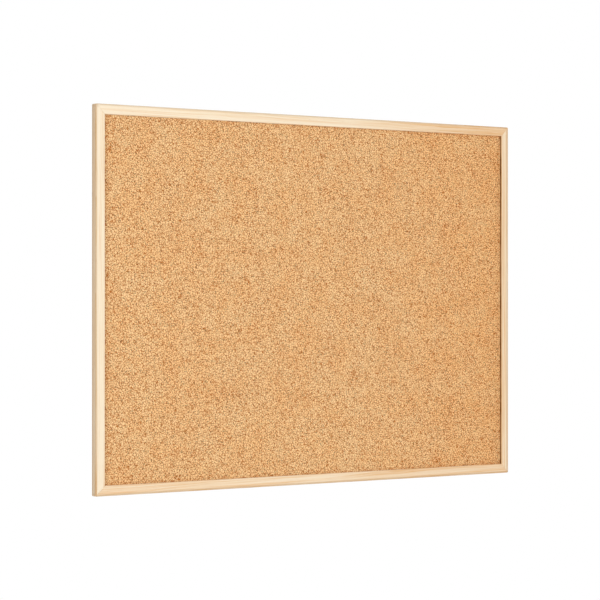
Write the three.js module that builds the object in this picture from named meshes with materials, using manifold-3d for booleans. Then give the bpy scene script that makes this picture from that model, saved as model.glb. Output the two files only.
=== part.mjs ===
// Cork pin board in a slim pine frame, 600 mm wide and 450 mm high.
// Four mitred rails close round a panel of cork, softboard and kraft paper, which lies in their rebate.
// V-nails driven from behind hold the mitres, flat steel points hold the panel, and a folded strap with
// a swinging D-ring on the back of each stile takes a wall hook.
// Millimetres, +Z up, with the cork facing -Y. The origin is the middle of the top rail's back face.
import * as THREE from "three";
import { mergeVertices } from "three/addons/utils/BufferGeometryUtils.js";
import Module from "manifold-3d";

// Frame
const BOARD_WIDTH = 600;
const BOARD_HEIGHT = 450;
const RAIL_WIDTH = 12;
const REBATE_WIDTH = 3;
const LIP_THICKNESS = 2.8;
const OUTER_ROUND = 2; // front outer edge
const SIGHT_ROUND = 0.8; // front edge beside the cork
const BACK_ROUND = 1; // back outer edge
const MITRE_GAP = 0.15; // glue line

// Panel, from the front to the back
const CORK_THICKNESS = 2; // where the lip presses it
const CORK_SWELL = 0.3; // how far the free cork stands in front of the pressed margin
const SWELL_CLEARANCE = 0.4; // from the free cork to the lip
const CORE_THICKNESS = 3.5;
const LINER_THICKNESS = 0.3;
const BACK_RECESS = 1.4; // from the rails' back face in to the liner
const PANEL_CLEARANCE = 0.5; // from the panel's edge to the rebate wall

// V-nails, two across each mitre
const V_NAIL_HEIGHT = 7;
const V_NAIL_LEG = 4;
const V_NAIL_GAUGE = 0.6;
const V_NAIL_SPACING = 3.4;
const V_NAIL_SINK = 0.3;

// Steel points that keep the panel in
const POINT_LENGTH = 12;
const POINT_WIDTH = 5;
const POINT_GAUGE = 0.4;
const POINT_BITE = 5; // length in the wood
const POINT_TIP = 3;
const POINTS_PER_RAIL = 4;
const POINTS_PER_STILE = 3;
const DRIVEN_CLEARANCE = 0.2; // round steel that is driven into the wood

// Hangers
const HANGER_DROP = 100; // from the frame's top edge to the ring's bar
const HANGER_OFFSET = 1; // from the middle of the stile's back face towards the panel
const STRAP_WIDTH = 6;
const STRAP_GAUGE = 0.4;
const STRAP_FOLD_GAP = 0.1;
const STRAP_RETURN = Math.PI / 4; // how far the loop wraps past level before it runs back to the strap
const RING_WIRE = 1.2;
const RING_REACH = 9; // from the bar to the middle of the arch
const RING_ARCH = 3.4; // rise of the arch
const RING_BEND = 1.2; // at the two corners beside the bar
const RING_SEAM = 0.4; // where the wire's two ends meet inside the loop
const RING_SIDE_CLEARANCE = 0.3; // from the ring's legs to the strap's edges
const RING_LIFT = 0.15; // from the hanging ring to the strap under it
const RING_HEAD_GAP = 0.5; // from the hanging ring to the screw's head

// Hanger screws
const SCREW_SHANK = 2.2;
const SCREW_LENGTH = 8;
const SCREW_TIP = 2;
const HEAD_WIDTH = 4.4;
const HEAD_HEIGHT = 1.4;
const HEAD_RIM = 0.4;
const HOLE_CLEARANCE = 0.2;
const SLOT_LENGTH = 2.6; // of the cross recess
const SLOT_WIDTH = 0.55;
const SLOT_DEPTH = 0.8;

// How finely round forms are divided
const EDGE_SEGMENTS = 8;
const ROUND_SEGMENTS = 24;
const WIRE_SEGMENTS = 5;
const RING_STEPS = 72;
const MERGE_DISTANCE = 1e-4;
const OVERSHOOT = 1; // how far a cutter runs out past the face that it opens

// Places that follow from the sizes. Depths are measured along Y from the rails' back face.
const RAIL_DEPTH = LIP_THICKNESS + CORK_THICKNESS + CORE_THICKNESS + LINER_THICKNESS + BACK_RECESS;
const LAND_WIDTH = RAIL_WIDTH - REBATE_WIDTH;
const FRONT_Y = -RAIL_DEPTH;
const LIP_BACK_Y = FRONT_Y + LIP_THICKNESS;
const CORE_FRONT_Y = LIP_BACK_Y + CORK_THICKNESS;
const LINER_FRONT_Y = CORE_FRONT_Y + CORE_THICKNESS;
const LINER_BACK_Y = -BACK_RECESS;
const PANEL_INSET = LAND_WIDTH + PANEL_CLEARANCE;
const MITRE_SETBACK = (MITRE_GAP / 2) * Math.SQRT2;

const STRAP_THICKNESS = 2 * STRAP_GAUGE + STRAP_FOLD_GAP;
const LOOP_RADIUS = STRAP_THICKNESS + RING_LIFT + RING_WIRE / 2;
const RING_HALF_WIDTH = STRAP_WIDTH / 2 + RING_SIDE_CLEARANCE + RING_WIRE / 2;
const SCREW_DROP = RING_REACH + RING_WIRE / 2 + RING_HEAD_GAP + HEAD_WIDTH / 2;
const HANGER_INSET = LAND_WIDTH / 2 + HANGER_OFFSET;
const HANGER_Z = BOARD_HEIGHT / 2 - HANGER_DROP;
const SCREW_Z = HANGER_Z - SCREW_DROP;

const QUARTER_TURN = Math.PI / 2;
const RAIL = { length: BOARD_WIDTH, reach: BOARD_HEIGHT / 2, points: POINTS_PER_RAIL };
const STILE = { length: BOARD_HEIGHT, reach: BOARD_WIDTH / 2, points: POINTS_PER_STILE };
const SIDES = [
  { name: "left_stile", turn: 0, ...STILE, screwAt: SCREW_Z },
  { name: "top_rail", turn: QUARTER_TURN, ...RAIL },
  { name: "right_stile", turn: Math.PI, ...STILE, screwAt: -SCREW_Z },
  { name: "bottom_rail", turn: -QUARTER_TURN, ...RAIL },
];
const CORNERS = [
  { name: "bottom_left", turn: 0, x: -1, z: -1 },
  { name: "top_left", turn: QUARTER_TURN, x: -1, z: 1 },
  { name: "top_right", turn: Math.PI, x: 1, z: 1 },
  { name: "bottom_right", turn: -QUARTER_TURN, x: 1, z: -1 },
];
const V_NAIL_INSETS = {
  outer: (LAND_WIDTH - V_NAIL_SPACING) / 2,
  inner: (LAND_WIDTH + V_NAIL_SPACING) / 2,
};

const FINISHES = {
  pine: { color: 0xf3dbb4, roughness: 0.6, metalness: 0 },
  cork: { color: 0xdfaa74, roughness: 0.9, metalness: 0 },
  softboard: { color: 0xb08a5e, roughness: 0.95, metalness: 0 },
  kraft: { color: 0xb98d5e, roughness: 0.85, metalness: 0 },
  steel: { color: 0xb9bcbe, roughness: 0.35, metalness: 1 },
  zinc: { color: 0xc9ccd0, roughness: 0.28, metalness: 1 },
};

const wasm = await Module();
wasm.setup();

function solidOf(geometry) {
  const bare = geometry.clone();
  bare.deleteAttribute("normal");
  bare.deleteAttribute("uv");
  const merged = mergeVertices(bare, MERGE_DISTANCE);
  return new wasm.Manifold(
    new wasm.Mesh({
      numProp: 3,
      vertProperties: new Float32Array(merged.attributes.position.array),
      triVerts: new Uint32Array(merged.index.array),
    }),
  );
}

function geometryOf(solid) {
  const mesh = solid.getMesh();
  const geometry = new THREE.BufferGeometry();
  geometry.setAttribute("position", new THREE.BufferAttribute(mesh.vertProperties, 3));
  geometry.setIndex(new THREE.BufferAttribute(mesh.triVerts, 1));
  geometry.computeVertexNormals();
  return geometry;
}

function carve(geometry, cutters) {
  let solid = solidOf(geometry);
  for (const cutter of cutters) {
    solid = solid.subtract(solidOf(cutter));
  }
  return geometryOf(solid);
}

function piece(name, geometry, finish) {
  const mesh = new THREE.Mesh(geometry, new THREE.MeshStandardMaterial(FINISHES[finish]));
  mesh.name = name;
  return mesh;
}

// An outline drawn in X and Z becomes a plate that runs forward from y to y minus its thickness.
function plate(outline, thickness, y) {
  const options = { depth: thickness, bevelEnabled: false, curveSegments: ROUND_SEGMENTS / 2 };
  const geometry = new THREE.ExtrudeGeometry(outline, options);
  return geometry.rotateX(QUARTER_TURN).translate(0, y, 0);
}

function rectangle(width, height) {
  const outline = new THREE.Shape();
  outline.moveTo(-width / 2, -height / 2);
  outline.lineTo(width / 2, -height / 2);
  outline.lineTo(width / 2, height / 2);
  outline.lineTo(-width / 2, height / 2);
  outline.closePath();
  return outline;
}

// Section of a rail: X runs from the outer edge in to the sight edge, Y from the front to the back.
function railSection() {
  const section = new THREE.Shape();
  section.moveTo(0, -BACK_ROUND);
  section.lineTo(0, FRONT_Y + OUTER_ROUND);
  section.absarc(OUTER_ROUND, FRONT_Y + OUTER_ROUND, OUTER_ROUND, Math.PI, 1.5 * Math.PI);
  section.lineTo(RAIL_WIDTH - SIGHT_ROUND, FRONT_Y);
  section.absarc(RAIL_WIDTH - SIGHT_ROUND, FRONT_Y + SIGHT_ROUND, SIGHT_ROUND, 1.5 * Math.PI, 2 * Math.PI);
  section.lineTo(RAIL_WIDTH, LIP_BACK_Y);
  section.lineTo(LAND_WIDTH, LIP_BACK_Y);
  section.lineTo(LAND_WIDTH, 0);
  section.lineTo(BACK_ROUND, 0);
  section.absarc(BACK_ROUND, -BACK_ROUND, BACK_ROUND, QUARTER_TURN, Math.PI);
  return section;
}

// The section runs along Z, and each end is slanted at 45 degrees for its mitre.
function railBlank(length) {
  const options = { depth: length, bevelEnabled: false, curveSegments: EDGE_SEGMENTS };
  const geometry = new THREE.ExtrudeGeometry(railSection(), options);
  const points = geometry.attributes.position;
  for (let i = 0; i < points.count; i += 1) {
    const end = length / 2 - points.getX(i) - MITRE_SETBACK;
    points.setZ(i, points.getZ(i) > length / 2 ? end : -end);
  }
  return geometry;
}

// Seen from behind, a V-nail is an angle whose legs run along the two rails from a point on the mitre.
function vNail(inset, clearance) {
  const low = inset - V_NAIL_GAUGE / 2 - clearance;
  const high = inset + V_NAIL_GAUGE / 2 + clearance;
  const end = inset + V_NAIL_LEG + clearance;
  const outline = new THREE.Shape();
  outline.moveTo(low, low);
  outline.lineTo(end, low);
  outline.lineTo(end, high);
  outline.lineTo(high, high);
  outline.lineTo(high, end);
  outline.lineTo(low, end);
  outline.closePath();
  return outline;
}

function vNailSlots(length) {
  const slots = [];
  for (const inset of Object.values(V_NAIL_INSETS)) {
    const depth = V_NAIL_HEIGHT + V_NAIL_SINK + DRIVEN_CLEARANCE;
    const slot = plate(vNail(inset, DRIVEN_CLEARANCE), depth + OVERSHOOT, OVERSHOOT);
    slots.push(slot.clone().translate(0, 0, -length / 2));
    slots.push(slot.clone().rotateY(QUARTER_TURN).translate(0, 0, length / 2));
  }
  return slots;
}

// A point is a flat blade with a tapered tip. X runs from the outer edge of the frame, as on the rails.
function pointBlade(clearance) {
  const half = POINT_WIDTH / 2 + clearance;
  const tip = LAND_WIDTH - POINT_BITE - clearance;
  const tail = LAND_WIDTH - POINT_BITE + POINT_LENGTH;
  const outline = new THREE.Shape();
  outline.moveTo(tip, 0);
  outline.lineTo(tip + POINT_TIP, -half);
  outline.lineTo(tail, -half);
  outline.lineTo(tail, half);
  outline.lineTo(tip + POINT_TIP, half);
  outline.closePath();
  return outline;
}

// Places along a rail: each point holds the middle of an equal share of the panel's edge.
function pointPlaces(length, count) {
  const share = (length - 2 * PANEL_INSET) / count;
  return Array.from({ length: count }, (_, i) => (i - (count - 1) / 2) * share);
}

function pointSlots(places) {
  const thickness = POINT_GAUGE + 2 * DRIVEN_CLEARANCE;
  const slot = plate(pointBlade(DRIVEN_CLEARANCE), thickness, LINER_BACK_Y + thickness - DRIVEN_CLEARANCE);
  return places.map((z) => slot.clone().translate(0, 0, z));
}

function pilotHole(z) {
  const radius = SCREW_SHANK / 2 + HOLE_CLEARANCE;
  const depth = SCREW_LENGTH - STRAP_THICKNESS + HOLE_CLEARANCE;
  const hole = new THREE.CylinderGeometry(radius, radius, depth + OVERSHOOT, ROUND_SEGMENTS);
  return hole.translate(HANGER_INSET, (OVERSHOOT - depth) / 2, z);
}

// One side of the frame: the rail and the points driven into its rebate.
function frameSide({ name, turn, length, reach, points, screwAt }) {
  const side = new THREE.Group();
  const places = pointPlaces(length, points);
  const cutters = [...vNailSlots(length), ...pointSlots(places)];
  if (screwAt !== undefined) {
    cutters.push(pilotHole(screwAt));
  }
  const parts = [piece(name, carve(railBlank(length), cutters), "pine")];
  places.forEach((z, i) => {
    const blade = plate(pointBlade(0), POINT_GAUGE, LINER_BACK_Y + POINT_GAUGE);
    parts.push(piece(`${name}_point_${i + 1}`, blade.translate(0, 0, z), "steel"));
  });
  for (const part of parts) {
    part.position.x = -reach;
    side.add(part);
  }
  side.rotation.y = turn;
  return side;
}

function frameCorner({ name, turn, x, z }) {
  const corner = new THREE.Group();
  for (const [place, inset] of Object.entries(V_NAIL_INSETS)) {
    const nail = plate(vNail(inset, 0), V_NAIL_HEIGHT, -V_NAIL_SINK);
    corner.add(piece(`v_nail_${name}_${place}`, nail, "steel"));
  }
  corner.position.set((x * BOARD_WIDTH) / 2, 0, (z * BOARD_HEIGHT) / 2);
  corner.rotation.y = turn;
  return corner;
}

// The lip presses the cork's margin, so the free cork swells forward inside the opening.
function corkSheet(width, height) {
  const swellInset = RAIL_WIDTH + SWELL_CLEARANCE;
  const field = rectangle(BOARD_WIDTH - 2 * swellInset, BOARD_HEIGHT - 2 * swellInset);
  const margin = plate(rectangle(width, height), CORK_THICKNESS, CORE_FRONT_Y);
  const swell = plate(field, CORK_SWELL + CORK_THICKNESS / 2, LIP_BACK_Y + CORK_THICKNESS / 2);
  return geometryOf(solidOf(margin).add(solidOf(swell)));
}

function panel() {
  const width = BOARD_WIDTH - 2 * PANEL_INSET;
  const height = BOARD_HEIGHT - 2 * PANEL_INSET;
  const sheet = rectangle(width, height);
  const layers = new THREE.Group();
  layers.add(
    piece("cork_sheet", corkSheet(width, height), "cork"),
    piece("softboard_core", plate(sheet, CORE_THICKNESS, LINER_FRONT_Y), "softboard"),
    piece("kraft_liner", plate(sheet, LINER_THICKNESS, LINER_BACK_Y), "kraft"),
  );
  return layers;
}

// Edge view of the strap, drawn in Y and Z: up the stile, round the ring's bar and back down on itself.
function strapEdge() {
  const foldInner = STRAP_GAUGE + STRAP_FOLD_GAP;
  const bottom = -SCREW_DROP - STRAP_WIDTH;
  const inner = LOOP_RADIUS - STRAP_GAUGE;
  const runOut = (radius, y) => {
    const across = LOOP_RADIUS + radius * Math.cos(STRAP_RETURN) - y;
    return -radius * Math.sin(STRAP_RETURN) - across / Math.tan(STRAP_RETURN);
  };
  const edge = new THREE.Shape();
  edge.moveTo(0, bottom);
  edge.lineTo(STRAP_GAUGE, bottom);
  edge.lineTo(STRAP_GAUGE, 0);
  edge.absarc(LOOP_RADIUS, 0, inner, Math.PI, -STRAP_RETURN, true);
  edge.lineTo(foldInner, runOut(inner, foldInner));
  edge.lineTo(foldInner, bottom);
  edge.lineTo(STRAP_THICKNESS, bottom);
  edge.lineTo(STRAP_THICKNESS, runOut(LOOP_RADIUS, STRAP_THICKNESS));
  edge.absarc(LOOP_RADIUS, 0, LOOP_RADIUS, -STRAP_RETURN, Math.PI);
  return edge;
}

// Back view of the strap, drawn in X and Z: a round end about the screw's hole.
function strapFace() {
  const half = STRAP_WIDTH / 2;
  const top = LOOP_RADIUS + OVERSHOOT;
  const face = new THREE.Shape();
  face.moveTo(half, top);
  face.lineTo(-half, top);
  face.lineTo(-half, -SCREW_DROP);
  face.absarc(0, -SCREW_DROP, half, Math.PI, 2 * Math.PI);
  face.closePath();
  const hole = new THREE.Path();
  hole.absarc(0, -SCREW_DROP, SCREW_SHANK / 2 + HOLE_CLEARANCE, 0, 2 * Math.PI, true);
  face.holes.push(hole);
  return face;
}

function strap() {
  const width = STRAP_WIDTH + 2 * OVERSHOOT;
  const options = { depth: width, bevelEnabled: false, curveSegments: ROUND_SEGMENTS / 2 };
  const folded = new THREE.ExtrudeGeometry(strapEdge(), options).translate(0, 0, -width / 2);
  const toStile = new THREE.Matrix4().makeBasis(
    new THREE.Vector3(0, 1, 0),
    new THREE.Vector3(0, 0, 1),
    new THREE.Vector3(1, 0, 0),
  );
  const depth = 2 * (LOOP_RADIUS + OVERSHOOT);
  const blank = plate(strapFace(), depth, depth - OVERSHOOT);
  return geometryOf(solidOf(folded.applyMatrix4(toStile)).intersect(solidOf(blank)));
}

// Middle line of the ring's wire, from one side of the seam round to the other.
function ringLine() {
  const corner = RING_HALF_WIDTH - RING_BEND;
  const spring = RING_ARCH - RING_REACH;
  const line = new THREE.Path();
  line.moveTo(RING_SEAM / 2, 0);
  line.lineTo(corner, 0);
  line.absarc(corner, -RING_BEND, RING_BEND, QUARTER_TURN, 0, true);
  line.lineTo(RING_HALF_WIDTH, spring);
  line.absellipse(0, spring, RING_HALF_WIDTH, RING_ARCH, 0, -Math.PI, true);
  line.lineTo(-RING_HALF_WIDTH, -RING_BEND);
  line.absarc(-corner, -RING_BEND, RING_BEND, Math.PI, QUARTER_TURN, true);
  line.lineTo(-RING_SEAM / 2, 0);
  return line;
}

function ring() {
  const places = ringLine().getSpacedPoints(RING_STEPS);
  const along = new THREE.CatmullRomCurve3(places.map((p) => new THREE.Vector3(p.x, LOOP_RADIUS, p.y)));
  const wire = new THREE.Shape().absarc(0, 0, RING_WIRE / 2, 0, 2 * Math.PI);
  return new THREE.ExtrudeGeometry(wire, {
    steps: RING_STEPS,
    curveSegments: WIRE_SEGMENTS,
    bevelEnabled: false,
    extrudePath: along,
  });
}

function crossRecess() {
  const arm = rectangle(SLOT_LENGTH, SLOT_WIDTH);
  const depth = SLOT_DEPTH + OVERSHOOT;
  const first = solidOf(plate(arm, depth, OVERSHOOT));
  const second = solidOf(plate(arm, depth, OVERSHOOT).rotateY(QUARTER_TURN));
  return geometryOf(first.add(second));
}

// Pan-head wood screw along Y, with its head on the strap's back.
function screw() {
  const seat = STRAP_THICKNESS;
  const tip = seat - SCREW_LENGTH;
  const half = new THREE.Path();
  half.moveTo(0, tip);
  half.lineTo(SCREW_SHANK / 2, tip + SCREW_TIP);
  half.lineTo(SCREW_SHANK / 2, seat);
  half.lineTo(HEAD_WIDTH / 2, seat);
  half.lineTo(HEAD_WIDTH / 2, seat + HEAD_RIM);
  half.absellipse(0, seat + HEAD_RIM, HEAD_WIDTH / 2, HEAD_HEIGHT - HEAD_RIM, 0, QUARTER_TURN);
  const body = new THREE.LatheGeometry(half.getPoints(EDGE_SEGMENTS), ROUND_SEGMENTS);
  const recess = crossRecess().translate(0, seat + HEAD_HEIGHT, 0);
  return carve(body, [recess]).translate(0, 0, -SCREW_DROP);
}

function hanger(name, direction) {
  const group = new THREE.Group();
  group.add(
    piece(`${name}_hanger_strap`, strap(), "zinc"),
    piece(`${name}_hanger_ring`, ring(), "zinc"),
    piece(`${name}_hanger_screw`, screw(), "zinc"),
  );
  group.position.set(direction * (BOARD_WIDTH / 2 - HANGER_INSET), 0, HANGER_Z);
  return group;
}

const board = new THREE.Group();
board.add(panel(), hanger("left", -1), hanger("right", 1));
for (const side of SIDES) {
  board.add(frameSide(side));
}
for (const corner of CORNERS) {
  board.add(frameCorner(corner));
}
board.position.z = LAND_WIDTH / 2 - BOARD_HEIGHT / 2;

const pinBoard = new THREE.Group();
pinBoard.add(board);

export default pinBoard;
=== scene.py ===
import math
from collections import namedtuple

import bmesh
import bpy
import numpy as np
from bpy.props import FloatProperty, FloatVectorProperty, IntProperty, PointerProperty
from mathutils import Matrix, Vector


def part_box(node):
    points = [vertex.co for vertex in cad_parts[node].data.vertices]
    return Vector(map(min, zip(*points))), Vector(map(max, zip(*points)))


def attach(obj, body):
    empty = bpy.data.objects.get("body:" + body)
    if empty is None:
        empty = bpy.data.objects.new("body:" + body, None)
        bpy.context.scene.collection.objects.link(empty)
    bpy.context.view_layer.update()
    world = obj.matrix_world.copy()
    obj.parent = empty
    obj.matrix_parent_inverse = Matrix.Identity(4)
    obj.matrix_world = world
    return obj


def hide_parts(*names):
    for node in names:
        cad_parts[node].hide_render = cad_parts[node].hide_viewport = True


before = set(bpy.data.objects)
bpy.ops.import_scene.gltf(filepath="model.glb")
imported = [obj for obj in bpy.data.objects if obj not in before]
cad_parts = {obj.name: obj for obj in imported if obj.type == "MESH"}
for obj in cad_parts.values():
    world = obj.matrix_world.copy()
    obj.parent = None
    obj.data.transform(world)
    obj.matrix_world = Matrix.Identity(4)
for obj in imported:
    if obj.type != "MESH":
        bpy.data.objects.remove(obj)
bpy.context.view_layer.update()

bl_info = {
    "name": "Cork Pin Board",
    "version": (1, 0, 0),
    "blender": (4, 5, 0),
    "location": "3D View > Sidebar > Pin Board",
    "description": "Finishes a framed cork board: cork, mitred pine, kraft paper and steel fittings",
    "category": "Object",
}

# The board's own measures, in metres, read from the frame.
TOP_LOW, TOP_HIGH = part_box("top_rail")
BOTTOM_LOW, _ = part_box("bottom_rail")
CORK_LOW, CORK_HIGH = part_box("cork_sheet")
LINER_LOW, LINER_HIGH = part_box("kraft_liner")
HALF_WIDTH = TOP_HIGH.x
HALF_HEIGHT = (TOP_HIGH.z - BOTTOM_LOW.z) / 2
CENTRE_Z = (TOP_HIGH.z + BOTTOM_LOW.z) / 2
RAIL_WIDTH = TOP_HIGH.z - TOP_LOW.z
FRONT_Y = TOP_LOW.y
SIGHT_HALF_WIDTH = HALF_WIDTH - RAIL_WIDTH
SIGHT_HALF_HEIGHT = HALF_HEIGHT - RAIL_WIDTH

# Each side of the frame: its turn from the left stile about the board's middle, how far out its outer
# edge lies, and half its length. The pine's settings for the four sides keep this order.
RAILS = {
    "left_stile": (0.0, HALF_WIDTH, HALF_HEIGHT),
    "top_rail": (math.radians(90), HALF_HEIGHT, HALF_WIDTH),
    "right_stile": (math.radians(180), HALF_WIDTH, HALF_HEIGHT),
    "bottom_rail": (math.radians(-90), HALF_HEIGHT, HALF_WIDTH),
}
RailFinish = namedtuple("RailFinish", "tones stain handling handled_width edge_warmth slant")
HANGER_SIDES = ("left", "right")
MM = 0.001


class PineSettings(bpy.types.PropertyGroup):
    """Finish of the frame's four mitred rails"""

    pale: FloatVectorProperty(
        name="Pale wood", description="Colour of the palest rail", subtype="COLOR",
        size=3, min=0, max=1, default=(0.905, 0.77, 0.58),
    )
    warm: FloatVectorProperty(
        name="Warm wood", description="Colour of the most resinous wood", subtype="COLOR",
        size=3, min=0, max=1, default=(0.755, 0.415, 0.165),
    )
    # The lip edge colour is painted shadow on the lip's inner face beside the cork; the lip fringe is that
    # painted shadow's warm edge on the front.
    shadow: FloatVectorProperty(
        name="Lip edge", description="Colour of the raw edge beside the cork", subtype="COLOR",
        size=3, min=0, max=1, default=(0.18, 0.07, 0.01),
    )
    shadow_fringe: FloatVectorProperty(
        name="Lip fringe", description="Colour of the wood where the lip's stain has crept in",
        subtype="COLOR", size=3, min=0, max=1, default=(0.72, 0.40, 0.14),
    )
    # The handled edge is painted shade on the rounded outer edges and outer sides, set for each side of the
    # frame.
    handled: FloatVectorProperty(
        name="Edge shade", description="Darkening of the rounded outer edges", subtype="COLOR",
        size=3, min=0, max=1, default=(0.70, 0.61, 0.50),
    )
    handling: FloatVectorProperty(
        name="Edge shading", description="How far the edges are darkened on the left, top, right and bottom",
        size=4, min=0, max=1, default=(0.8, 0.6, 0.75, 0.75),
    )
    edge_shade_widths: FloatVectorProperty(
        name="Edge shade widths", description="Reach of the darkening on the left, top, right and bottom",
        unit="LENGTH", size=4, min=1 * MM, default=(2.6 * MM, 3.0 * MM, 5.5 * MM, 3.6 * MM),
    )
    # On the left stile the edge warmth is partly painted shade, darkening its outer side.
    edge_warmth: FloatVectorProperty(
        name="Edge warmth", description="Added warmth of the edges on the left, top, right and bottom",
        size=4, min=-1, max=1, default=(0.22, -0.3, -0.15, -0.1),
    )
    # This stain is painted shadow on the lip's inner face: full on the right stile, faint on the others.
    stain: FloatVectorProperty(
        name="Lip shadow", description="How far the lip edge is stained on the left, top, right and bottom",
        size=4, min=0, max=1, default=(0.3, 0.25, 1.0, 0.2),
    )
    top_tones: FloatVectorProperty(
        name="Top rail", description="Warmth at the left end, the middle and the right end", size=3,
        min=0, max=1, default=(0.05, 0.12, 0.63),
    )
    bottom_tones: FloatVectorProperty(
        name="Bottom rail", description="Warmth at the right end, the middle and the left end", size=3,
        min=0, max=1, default=(0.58, 0.36, 0.22),
    )
    left_tones: FloatVectorProperty(
        name="Left stile", description="Warmth at the bottom end, the middle and the top end", size=3,
        min=0, max=1, default=(0.03, 0.015, 0.0),
    )
    right_tones: FloatVectorProperty(
        name="Right stile", description="Warmth at the top end, the middle and the bottom end", size=3,
        min=0, max=1, default=(0.34, 0.3, 0.27),
    )
    slant: FloatVectorProperty(
        name="Slant", description="How far the grain runs off the left, top, right and bottom rails",
        unit="ROTATION", size=4,
        default=(math.radians(0.4), math.radians(-0.6), math.radians(0.5), math.radians(1.2)),
    )
    ring_spacing: FloatProperty(
        name="Growth rings", description="Spacing of the growth rings", unit="LENGTH",
        min=0.5 * MM, default=1.9 * MM,
    )
    arris: FloatProperty(
        name="Arris", description="How far the sharp edges are sanded", unit="LENGTH",
        min=0, default=0.15 * MM,
    )
    corner: FloatProperty(
        name="Corners", description="Radius to which the frame's outer corners are sanded", unit="LENGTH",
        min=0.1 * MM, default=1.4 * MM,
    )
    roughness: FloatProperty(
        name="Roughness", description="Roughness of the sanded wood", subtype="FACTOR",
        min=0, max=1, default=0.55,
    )


class CorkSettings(bpy.types.PropertyGroup):
    """Make and finish of the cork sheet"""

    bark: FloatVectorProperty(
        name="Bark", description="Colour of the darkest grains", subtype="COLOR",
        size=3, min=0, max=1, default=(0.45, 0.116, 0.0),
    )
    tan: FloatVectorProperty(
        name="Tan", description="Colour of most grains", subtype="COLOR",
        size=3, min=0, max=1, default=(0.83, 0.465, 0.205),
    )
    straw: FloatVectorProperty(
        name="Straw", description="Colour of the palest grains", subtype="COLOR",
        size=3, min=0, max=1, default=(1.0, 0.74, 0.40),
    )
    pore: FloatVectorProperty(
        name="Pore", description="Colour of the few open pores and burnt chips", subtype="COLOR",
        size=3, min=0, max=1, default=(0.17, 0.052, 0.002),
    )
    granule: FloatProperty(
        name="Granule", description="Mean size of a granule", unit="LENGTH",
        min=1 * MM, default=2.8 * MM,
    )
    grain: FloatProperty(
        name="Grain", description="Mean size of the grains within a granule", unit="LENGTH",
        min=0.3 * MM, default=0.6 * MM,
    )
    spacing: FloatProperty(
        name="Mesh spacing", description="Distance between points of the sheet's face", unit="LENGTH",
        min=1.5 * MM, default=1.7 * MM,
    )
    pit: FloatProperty(
        name="Pit depth", description="Depth of the deepest pits between granules", unit="LENGTH",
        min=0, default=0.28 * MM,
    )
    sway: FloatProperty(
        name="Unevenness", description="How far the sheet's face wanders from flat", unit="LENGTH",
        min=0, default=0.12 * MM,
    )
    pressed: FloatProperty(
        name="Pressed margin", description="Thickness of the sheet under the frame's lip", unit="LENGTH",
        min=0, default=1.98 * MM,
    )
    roll: FloatProperty(
        name="Edge roll", description="Width over which the face drops to the pressed margin", unit="LENGTH",
        min=0, default=2.4 * MM,
    )
    # These dusty margins are painted shade that the frame's lip casts on the cork, widest and darkest on the
    # left.
    shaded_margins: FloatVectorProperty(
        name="Shaded margins", description="Widths of the darker margins at the left, right, bottom and top",
        unit="LENGTH", size=4, min=0.1 * MM, default=(7 * MM, 14 * MM, 4 * MM, 5 * MM),
    )
    margin_shade: FloatVectorProperty(
        name="Margin shade", description="How dark those margins are at the lip", size=4, min=0, max=1,
        default=(0.48, 0.1, 0.12, 0.08),
    )
    # The cork is redder and darker towards its right edge.
    right_redness: FloatProperty(
        name="Right redness", description="How much redder the sheet has turned towards its right edge",
        subtype="FACTOR", min=0, max=1, default=0.5,
    )
    seed: IntProperty(name="Seed", description="Picks another sheet", default=7)


class PaperSettings(bpy.types.PropertyGroup):
    """Finish of the kraft liner and the softboard under it"""

    kraft: FloatVectorProperty(
        name="Kraft", description="Colour of the liner", subtype="COLOR",
        size=3, min=0, max=1, default=(0.47, 0.27, 0.125),
    )
    softboard: FloatVectorProperty(
        name="Softboard", description="Colour of the core", subtype="COLOR",
        size=3, min=0, max=1, default=(0.36, 0.21, 0.1),
    )
    cockle: FloatProperty(
        name="Cockle", description="Depth of the paper's gentle waves", unit="LENGTH",
        min=0, default=0.2 * MM,
    )
    spacing: FloatProperty(
        name="Mesh spacing", description="Distance between points of the liner", unit="LENGTH",
        min=2 * MM, default=5 * MM,
    )
    seed: IntProperty(name="Seed", description="Picks another sheet", default=11)


class FittingSettings(bpy.types.PropertyGroup):
    """Finish of the nails, points and hangers"""

    steel: FloatVectorProperty(
        name="Spring steel", description="Colour of the nails and points", subtype="COLOR",
        size=3, min=0, max=1, default=(0.42, 0.43, 0.45),
    )
    zinc: FloatVectorProperty(
        name="Zinc plate", description="Colour of the hangers", subtype="COLOR",
        size=3, min=0, max=1, default=(0.62, 0.64, 0.68),
    )
    burr: FloatProperty(
        name="Edge round", description="Rounding of the sheared edges", unit="LENGTH",
        min=0, default=0.06 * MM,
    )


class StageSettings(bpy.types.PropertyGroup):
    """Camera, floor and lamps"""

    azimuth: FloatProperty(
        name="Azimuth", description="Direction of the camera, from straight ahead of the cork",
        subtype="ANGLE", default=math.radians(-32.63),
    )
    distance: FloatProperty(
        name="Distance", description="From the camera to the cork's face", unit="LENGTH", default=2.449,
    )
    aim: FloatProperty(
        name="Aim", description="Where the camera aims, from the middle of the board along its width",
        unit="LENGTH", default=-0.0212,
    )
    lens: FloatProperty(
        name="Lens", description="Focal length", unit="CAMERA", default=120.6,
    )
    floor_drop: FloatProperty(
        name="Floor", description="From the middle of the board down to the floor", unit="LENGTH",
        default=1.0,
    )
    floor_radius: FloatProperty(
        name="Floor radius", description="Where the floor has faded into the backdrop", unit="LENGTH",
        default=4.0,
    )
    ambient: FloatProperty(
        name="Ambient", description="Light from all round, as a share of plain light", subtype="FACTOR",
        min=0, max=1, default=0.46,
    )


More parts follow.
